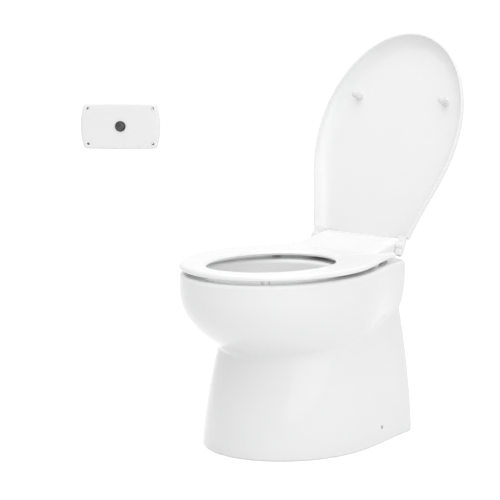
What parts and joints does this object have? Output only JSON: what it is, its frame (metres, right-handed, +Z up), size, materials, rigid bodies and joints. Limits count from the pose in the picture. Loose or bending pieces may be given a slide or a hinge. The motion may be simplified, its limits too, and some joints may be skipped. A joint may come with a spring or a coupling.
{
  "type": "electric marine toilet",
  "caption": "Compact electric marine toilet: ceramic bowl and pedestal, moulded seat and lid, macerator pump inside, separate push-button control panel.",
  "frame": {"origin": "on the floor, midway across and straight below the axis that the seat and the lid turn on", "axes": "+Z up, -Y towards the front of the bowl, +X towards the left of a person sitting on it"},
  "size_m": [0.6724, 0.6514, 0.7939],
  "materials": {
    "white_glaze": "white gloss glaze over vitreous china",
    "seat_plastic": "white gloss moulding",
    "lid_plastic": "white gloss moulding",
    "buffer_rubber": "soft white",
    "stainless_steel": "turned and brushed",
    "black_rubber": "matte black",
    "pump_plastic": "fine matte black moulding",
    "motor_paint": "satin black paint",
    "white_nylon": "satin white nylon",
    "brass": "cast and machined",
    "panel_plastic": "white satin moulding",
    "button_gloss": "high gloss black"
  },
  "bodies": {
    "toilet": {"ceramic_pedestal": "white_glaze", "ceramic_basin": "white_glaze", "hinge_post_left": "white_nylon", "hinge_post_right": "white_nylon", "hinge_pin_left": "stainless_steel", "hinge_pin_right": "stainless_steel", "hinge_washer_left": "black_rubber", "hinge_washer_right": "black_rubber", "hinge_nut_left": "white_nylon", "hinge_nut_right": "white_nylon", "macerator_housing": "pump_plastic", "bowl_outlet_seal": "black_rubber", "outlet_clamp": "stainless_steel", "seal_plate": "pump_plastic", "shaft_seal": "black_rubber", "motor_body": "motor_paint", "motor_end_cap": "pump_plastic", "pump_base": "pump_plastic", "joker_valve": "black_rubber", "discharge_tail": "pump_plastic", "rinse_valve_body": "brass", "rinse_valve_coil": "pump_plastic", "rinse_valve_spring": "stainless_steel", "rinse_nozzle": "white_nylon", "rinse_nozzle_nut": "white_nylon", "rinse_pipe": "white_nylon", "panel_plate": "panel_plastic", "panel_gasket": "black_rubber", "button_barrel": "button_gloss", "button_nut": "stainless_steel", "switch_body": "pump_plastic", "button_spring": "stainless_steel"},
    "seat": {"seat": "seat_plastic", "seat_heel": "seat_plastic", "seat_buffer_front_left": "buffer_rubber", "seat_buffer_front_right": "buffer_rubber", "seat_buffer_back_left": "buffer_rubber", "seat_buffer_back_right": "buffer_rubber"},
    "lid": {"lid": "lid_plastic", "lid_arm_left": "lid_plastic", "lid_arm_right": "lid_plastic", "lid_buffer_left": "buffer_rubber", "lid_buffer_right": "buffer_rubber"},
    "pump_rotor": {"pump_shaft": "stainless_steel", "pump_impeller": "white_nylon", "macerator_blade": "stainless_steel"},
    "rinse_plunger": {"rinse_valve_plunger": "stainless_steel"},
    "button": {"push_button": "button_gloss"},
    "switch_stem": {"switch_plunger": "white_nylon"}
  },
  "joints": [
    {"name": "lid_hinge", "type": "hinge", "parent": "toilet", "child": "lid", "pos_m": [0, 0, 0.377], "axis": [-1, 0, 0], "range_deg": [-113.5, 0]},
    {"name": "seat_hinge", "type": "hinge", "parent": "toilet", "child": "seat", "pos_m": [0, 0, 0.377], "axis": [-1, 0, 0], "range_deg": [0, 95]},
    {"name": "pump_shaft_spin", "type": "hinge", "parent": "toilet", "child": "pump_rotor", "pos_m": [0, -0.185, 0.056], "axis": [0, 1, 0], "continuous": true},
    {"name": "rinse_plunger_slide", "type": "slide", "parent": "toilet", "child": "rinse_plunger", "axis": [0, 0, 1], "range_m": [0, 0.003], "stiffness_N_per_m": 200, "springref_m": -0.002, "deforming": ["rinse_valve_spring"]},
    {"name": "push_button_slide", "type": "slide", "parent": "toilet", "child": "button", "axis": [-0.6428, 0.766, 0], "range_m": [0, 0.002], "stiffness_N_per_m": 600, "springref_m": -0.001},
    {"name": "switch_stem_slide", "type": "slide", "parent": "toilet", "child": "switch_stem", "axis": [-0.6428, 0.766, 0], "range_m": [0, 0.002]}
  ],
  "couplings": [
    {"joint": "switch_stem_slide", "follows": "push_button_slide", "ratio": 1}
  ]
}
